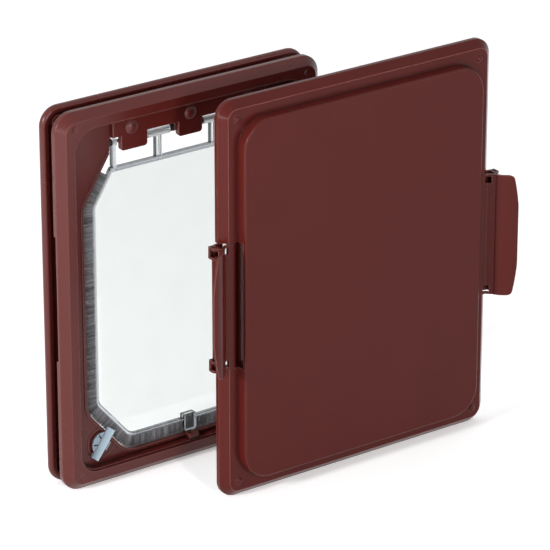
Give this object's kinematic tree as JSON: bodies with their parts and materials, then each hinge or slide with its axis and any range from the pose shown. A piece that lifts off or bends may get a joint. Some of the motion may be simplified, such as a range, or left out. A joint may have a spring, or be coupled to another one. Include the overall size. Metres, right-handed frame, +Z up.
{
  "type": "dog door",
  "caption": "Dog door for a house door: clear swinging flap with brush seal in a brown clamp frame, turn locks, and a clip-on closing panel standing in front.",
  "frame": {"origin": "centre of the four clamp screw holes, on the inside face of the door leaf", "axes": "+X to the right seen from the room, +Y outward through the door leaf, +Z up"},
  "size_m": [0.5157, 0.1726, 0.46],
  "materials": {
    "brown_plastic": "satin moulded plastic",
    "clear_plastic": "clear, glossy",
    "clip_plastic": "satin moulded plastic",
    "grey_pile": "short brush pile",
    "lock_plastic": "pale moulded plastic",
    "black_plastic": "black moulded plastic",
    "steel": "plain steel",
    "magnet": "pressed ferrite"
  },
  "bodies": {
    "frame": {"inner_frame": "brown_plastic", "outer_frame": "brown_plastic", "hinge_cover": "brown_plastic", "hinge_cover_screws": "steel", "hinge_rod": "steel", "hinge_bushes": "black_plastic", "sill_magnet": "magnet", "sill_magnet_cap": "brown_plastic", "closing_panel": "brown_plastic", "clip_pins": "steel"},
    "flap": {"flap_panel": "clear_plastic", "brush_left": "grey_pile", "brush_right": "grey_pile", "flap_magnet": "magnet", "flap_magnet_plug": "clear_plastic"},
    "lock_left": {"lock_knob_left": "lock_plastic", "lock_retainer_left": "black_plastic"},
    "lock_right": {"lock_knob_right": "lock_plastic", "lock_retainer_right": "black_plastic"},
    "clip_left": {"clip_left": "clip_plastic"},
    "clip_right": {"clip_right": "clip_plastic"}
  },
  "joints": [
    {"name": "flap_swing", "type": "hinge", "parent": "frame", "child": "flap", "pos_m": [0, 0.0024, 0.1715], "axis": [1, 0, 0], "range_deg": [0, 85]},
    {"name": "lock_turn_left", "type": "hinge", "parent": "frame", "child": "lock_left", "pos_m": [-0.11764, 0, -0.17402], "axis": [0, -1, 0], "range_deg": [0, 90]},
    {"name": "lock_turn_right", "type": "hinge", "parent": "frame", "child": "lock_right", "pos_m": [0.11764, 0, -0.17402], "axis": [0, 1, 0], "range_deg": [0, 90]},
    {"name": "clip_turn_left", "type": "hinge", "parent": "frame", "child": "clip_left", "pos_m": [-0.0245, -0.1192, 0.009], "axis": [0, 0, -1], "range_deg": [-10, 20]},
    {"name": "clip_turn_right", "type": "hinge", "parent": "frame", "child": "clip_right", "pos_m": [0.3065, -0.1192, 0.009], "axis": [0, 0, 1], "range_deg": [-10, 20]}
  ]
}
